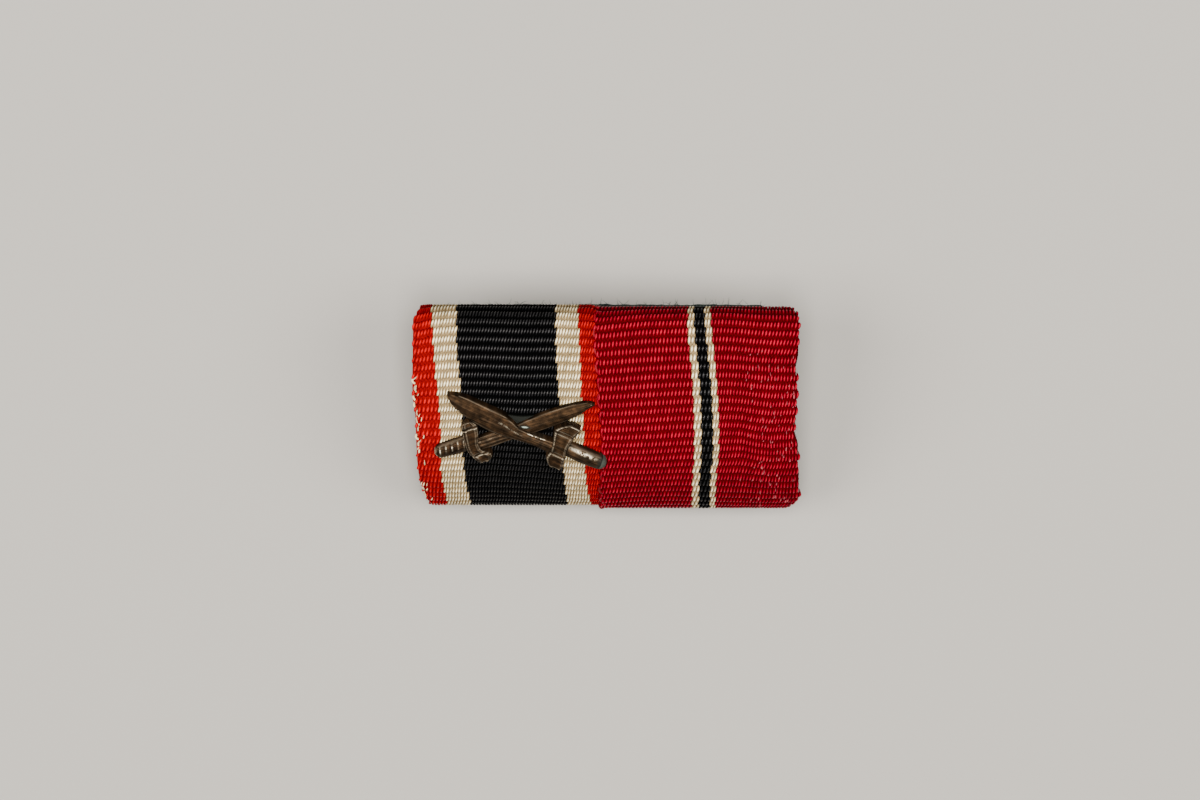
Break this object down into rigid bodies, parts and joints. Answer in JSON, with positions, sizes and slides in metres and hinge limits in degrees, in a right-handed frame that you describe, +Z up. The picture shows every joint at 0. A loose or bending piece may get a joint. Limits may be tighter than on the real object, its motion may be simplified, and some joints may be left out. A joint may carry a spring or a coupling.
{
  "type": "ribbon bar",
  "caption": "Ribbon bar with corded ribbons wrapped round a domed core, a small crossed-swords device, a felt back and a brooch pin.",
  "frame": {"origin": "centre of the box that the bar fills as it lies, on the surface that it lies on", "axes": "+X along the bar towards the plain crimson ribbon, +Y towards the raised upper edge, +Z up, out of the face"},
  "size_m": [0.0291, 0.0164, 0.0101],
  "materials": {
    "core_board": "pressed board, dry and fibrous",
    "striped_ribbon": "glossy warp-faced rep, red, white and black stripes",
    "crimson_ribbon": "glossy warp-faced rep, crimson with a white, black and white middle stripe",
    "wool_felt": "pressed wool felt, dark green, slightly fuzzy",
    "pin_metal": "plated steel wire and strip, tarnished",
    "bronzed_metal": "stamped, browned and worn bright on its high edges"
  },
  "bodies": {
    "root": {"base_bar": "core_board", "left_ribbon": "striped_ribbon", "right_ribbon": "crimson_ribbon", "backing_felt": "wool_felt", "brooch_pin": "pin_metal", "crossed_swords": "bronzed_metal"}
  },
  "joints": []
}
